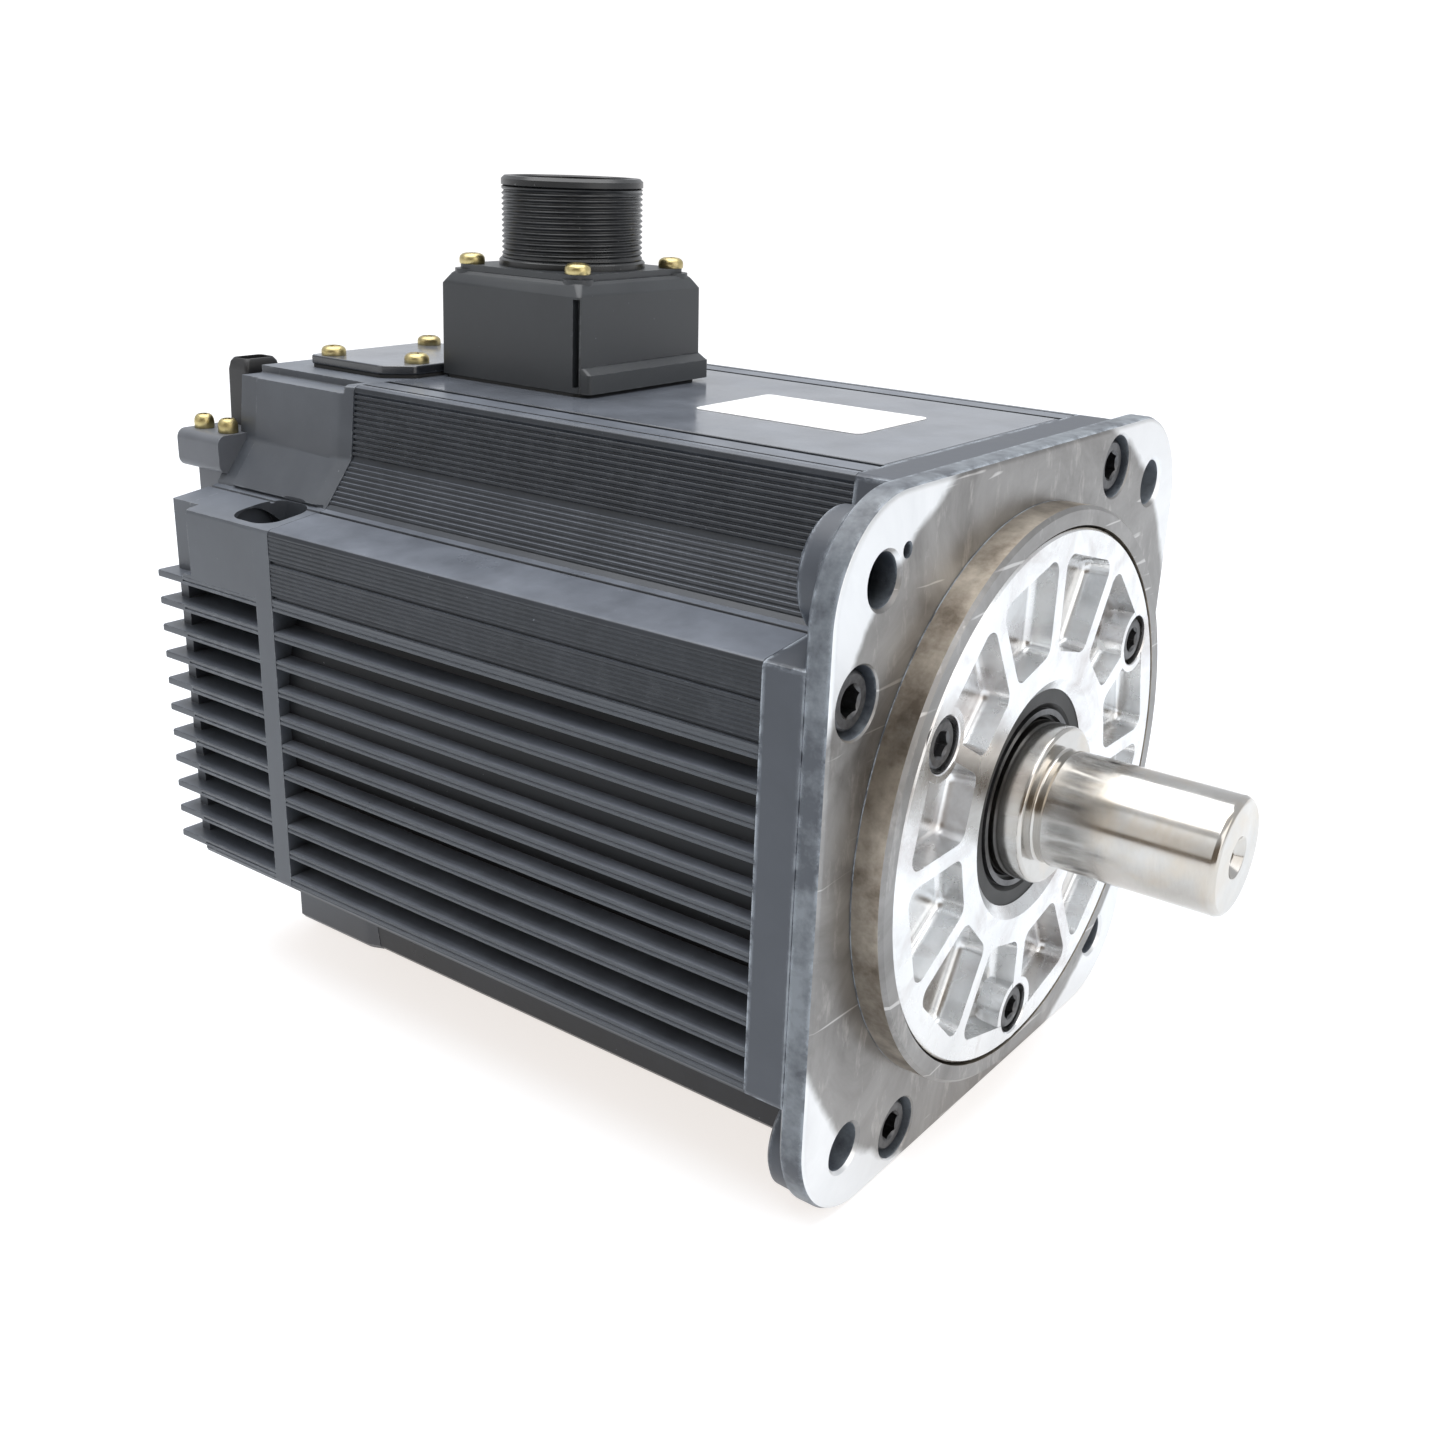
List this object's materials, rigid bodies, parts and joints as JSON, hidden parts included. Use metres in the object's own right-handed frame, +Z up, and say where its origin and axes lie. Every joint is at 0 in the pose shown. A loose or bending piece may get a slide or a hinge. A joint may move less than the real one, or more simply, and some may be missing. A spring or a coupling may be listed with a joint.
{
  "type": "servo motor",
  "caption": "Brushless AC servo motor: square flange with pilot spigot, finned body, plain round shaft, threaded power socket on top, rear encoder connector",
  "frame": {"origin": "centre of the mounting flange's front face, on the shaft's axis", "axes": "+X along the shaft towards its free end, +Z up towards the power socket, +Y completes a right-handed frame"},
  "size_m": [0.222, 0.13, 0.1699],
  "materials": {
    "housing_paint": "semi-gloss slate black paint with dust and small chips",
    "cover_aluminium": "bright machined casting",
    "shaft_steel": "ground and polished",
    "black_oxide_steel": "black oxide screws",
    "yellow_zinc_steel": "yellow zinc plated screws",
    "seal_rubber": "nitrile lip seal",
    "spring_steel": "bright spring steel",
    "bearing_steel": "hardened and ground",
    "cage_polyamide": "natural polyamide",
    "electrical_steel": "stacked laminations",
    "rare_earth_magnet": "nickel plated segments",
    "balance_brass": "turned balancing rings",
    "copper_winding": "enamelled copper wire",
    "bobbin_plastic": "moulded insulator",
    "circuit_board": "green glass-fibre board",
    "encoder_glass": "coated glass disc",
    "black_plastic": "moulded black plastic",
    "connector_black": "black coated threaded shell",
    "contact_brass": "plated contacts",
    "lead_insulation": "insulated leads",
    "gasket_rubber": "flat gasket",
    "block_grey": "grey coated casting",
    "label_white": "blank film label"
  },
  "bodies": {
    "motor_housing": {"front_bracket": "housing_paint", "bracket_screws": "black_oxide_steel", "front_cover": "cover_aluminium", "front_cover_screws": "black_oxide_steel", "oil_seal": "seal_rubber", "seal_spring": "spring_steel", "seal_ring": "spring_steel", "front_bearing_outer_ring": "bearing_steel", "rear_bearing_outer_ring": "bearing_steel", "preload_washer": "spring_steel", "stator_core": "electrical_steel", "coil_bobbins": "bobbin_plastic", "stator_coils": "copper_winding", "winding_ring": "circuit_board", "stator_frame": "housing_paint", "rear_bracket": "housing_paint", "rear_bracket_screws": "black_oxide_steel", "encoder_body": "black_plastic", "encoder_board": "circuit_board", "encoder_read_head": "black_plastic", "encoder_cover": "housing_paint", "encoder_cover_screws": "black_oxide_steel", "encoder_connector_block": "block_grey", "encoder_connector_screws": "yellow_zinc_steel", "encoder_socket": "black_plastic", "encoder_pins": "contact_brass", "encoder_leads": "lead_insulation", "access_gasket": "gasket_rubber", "access_plate": "housing_paint", "access_plate_screws": "yellow_zinc_steel", "box_gasket": "gasket_rubber", "connector_box": "housing_paint", "box_screws": "yellow_zinc_steel", "connector_shell": "connector_black", "connector_screws": "yellow_zinc_steel", "connector_insert": "black_plastic", "connector_pins": "contact_brass", "power_leads": "lead_insulation", "rating_label": "label_white"},
    "rotor": {"shaft": "shaft_steel", "rotor_core": "electrical_steel", "rotor_magnets": "rare_earth_magnet", "rotor_front_balance_ring": "balance_brass", "rotor_rear_balance_ring": "balance_brass", "front_bearing_inner_ring": "bearing_steel", "rear_bearing_inner_ring": "bearing_steel", "encoder_hub": "cover_aluminium", "encoder_disc": "encoder_glass", "encoder_nut": "balance_brass"},
    "front_cage": {"front_bearing_cage": "cage_polyamide", "front_bearing_balls": "bearing_steel"},
    "rear_cage": {"rear_bearing_cage": "cage_polyamide", "rear_bearing_balls": "bearing_steel"}
  },
  "joints": [
    {"name": "shaft_spin", "type": "hinge", "parent": "motor_housing", "child": "rotor", "pos_m": [0, 0, 0], "axis": [1, 0, 0], "continuous": true},
    {"name": "front_cage_spin", "type": "hinge", "parent": "motor_housing", "child": "front_cage", "pos_m": [0, 0, 0], "axis": [1, 0, 0], "continuous": true},
    {"name": "rear_cage_spin", "type": "hinge", "parent": "motor_housing", "child": "rear_cage", "pos_m": [0, 0, 0], "axis": [1, 0, 0], "continuous": true}
  ],
  "couplings": [
    {"joint": "front_cage_spin", "follows": "shaft_spin", "ratio": 0.4},
    {"joint": "rear_cage_spin", "follows": "shaft_spin", "ratio": 0.3866}
  ]
}
